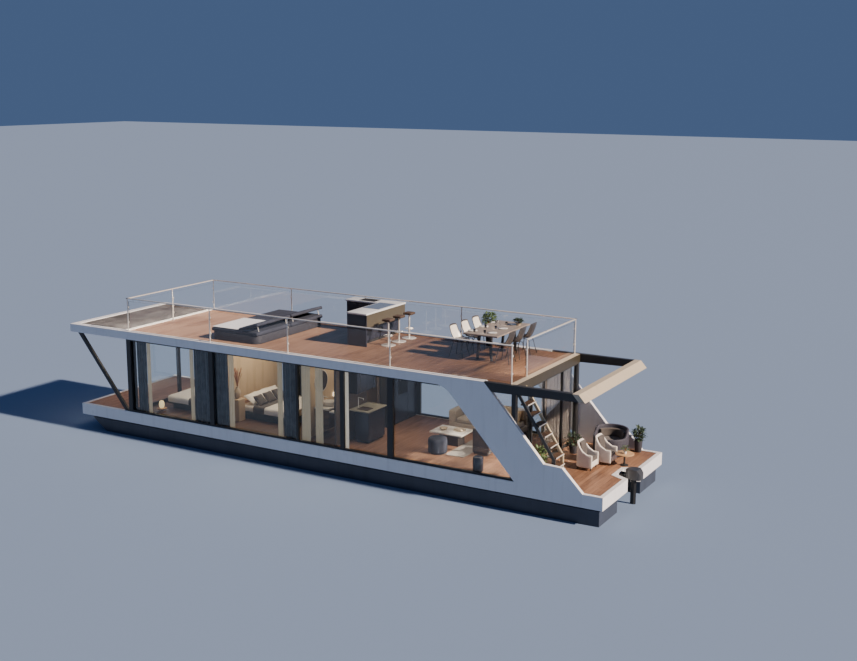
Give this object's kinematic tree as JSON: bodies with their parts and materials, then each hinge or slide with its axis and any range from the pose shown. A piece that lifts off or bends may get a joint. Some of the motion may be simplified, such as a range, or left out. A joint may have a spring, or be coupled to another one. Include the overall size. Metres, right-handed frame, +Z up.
{
  "type": "houseboat",
  "caption": "Twin-pontoon houseboat with a glazed cabin, roof terrace, stern pergola, sliding doors and a tilting, steering outboard motor.",
  "frame": {"origin": "on the floor under the hulls' flat bottoms, at the middle of the overall length and width", "axes": "+X towards the bow, +Y to port, +Z up"},
  "size_m": [17.76, 4.246, 4.7],
  "materials": {
    "white_paint": "smooth satin white paint",
    "cream_paint": "satin cream paint",
    "hull_paint": "satin grey paint over welded plate",
    "black_frame": "fine-textured black powder coat",
    "steel": "brushed",
    "deck_wood": "oiled boards with dark seams",
    "louvre_slats": "weathered grey slats",
    "cabin_oak": "oiled oak",
    "pale_stone": "honed pale composite stone",
    "clear_glass": "clear and polished",
    "linen": "soft woven linen",
    "slate_fabric": "gathered woven curtain",
    "wall_panel": "matt wall panel",
    "dark_cabinet": "matt dark laminate",
    "woven_dark": "woven strand",
    "motor_dark": "semi-gloss charcoal"
  },
  "bodies": {
    "boat": {"pontoon_port": "hull_paint", "pontoon_starboard": "hull_paint", "deck_platform": "white_paint", "deck_boards": "deck_wood", "side_leg_port": "white_paint", "side_leg_starboard": "white_paint", "roof_slab": "white_paint", "roof_edge_port": "white_paint", "roof_edge_starboard": "white_paint", "roof_edge_bow": "white_paint", "bow_louvres": "louvre_slats", "pergola_beam_port": "black_frame", "pergola_beam_starboard": "black_frame", "pergola_end_beam": "cream_paint", "bow_strut_port": "black_frame", "bow_strut_starboard": "black_frame", "window_frame_port": "black_frame", "window_glass_port": "clear_glass", "window_frame_starboard": "black_frame", "window_glass_starboard": "clear_glass", "aft_wall_frame": "black_frame", "aft_window_port": "clear_glass", "aft_window_starboard": "clear_glass", "front_wall_frame": "black_frame", "front_window": "clear_glass", "partition_bow": "wall_panel", "partition_middle": "wall_panel", "partition_galley": "wall_panel", "bed_bow": "linen", "bed_middle": "linen", "galley_island": "dark_cabinet", "galley_units": "dark_cabinet", "sofa": "linen", "coffee_table": "pale_stone", "armchair": "slate_fabric", "pouf": "slate_fabric", "curtains_port": "slate_fabric", "curtain_aft": "linen", "stair": "cream_paint", "roof_rail": "steel", "rail_glass": "clear_glass", "roof_boards": "deck_wood", "dining_table": "cabin_oak", "bar": "dark_cabinet", "sunbeds": "woven_dark", "lounge_chair_port": "linen", "lounge_chair_middle": "linen", "tub_sofa": "woven_dark", "low_table": "cabin_oak", "planter": "dark_cabinet", "outboard_bracket": "motor_dark"},
    "aft_door_leaf": {"aft_door": "black_frame", "aft_door_glass": "clear_glass"},
    "front_door_leaf": {"front_door": "black_frame", "front_door_glass": "clear_glass"},
    "motor_tilting": {"outboard_swivel": "motor_dark"},
    "motor_turning": {"outboard_cowl": "motor_dark", "outboard_leg": "motor_dark"},
    "motor_propeller": {"propeller": "motor_dark"}
  },
  "joints": [
    {"name": "aft_door_slide", "type": "slide", "parent": "boat", "child": "aft_door_leaf", "axis": [0, -1, 0], "range_m": [0, 0.93]},
    {"name": "front_door_slide", "type": "slide", "parent": "boat", "child": "front_door_leaf", "axis": [0, -1, 0], "range_m": [0, 1.9]},
    {"name": "motor_tilt", "type": "hinge", "parent": "boat", "child": "motor_tilting", "pos_m": [-8.36, 0, 1.19], "axis": [0, 1, 0], "range_deg": [0, 65]},
    {"name": "motor_steer", "type": "hinge", "parent": "motor_tilting", "child": "motor_turning", "pos_m": [-8.52, 0, 0.95], "axis": [0, 0, 1], "range_deg": [-30, 30]},
    {"name": "propeller_spin", "type": "hinge", "parent": "motor_turning", "child": "motor_propeller", "pos_m": [-8.817, 0, 0.24], "axis": [1, 0, 0], "continuous": true}
  ]
}
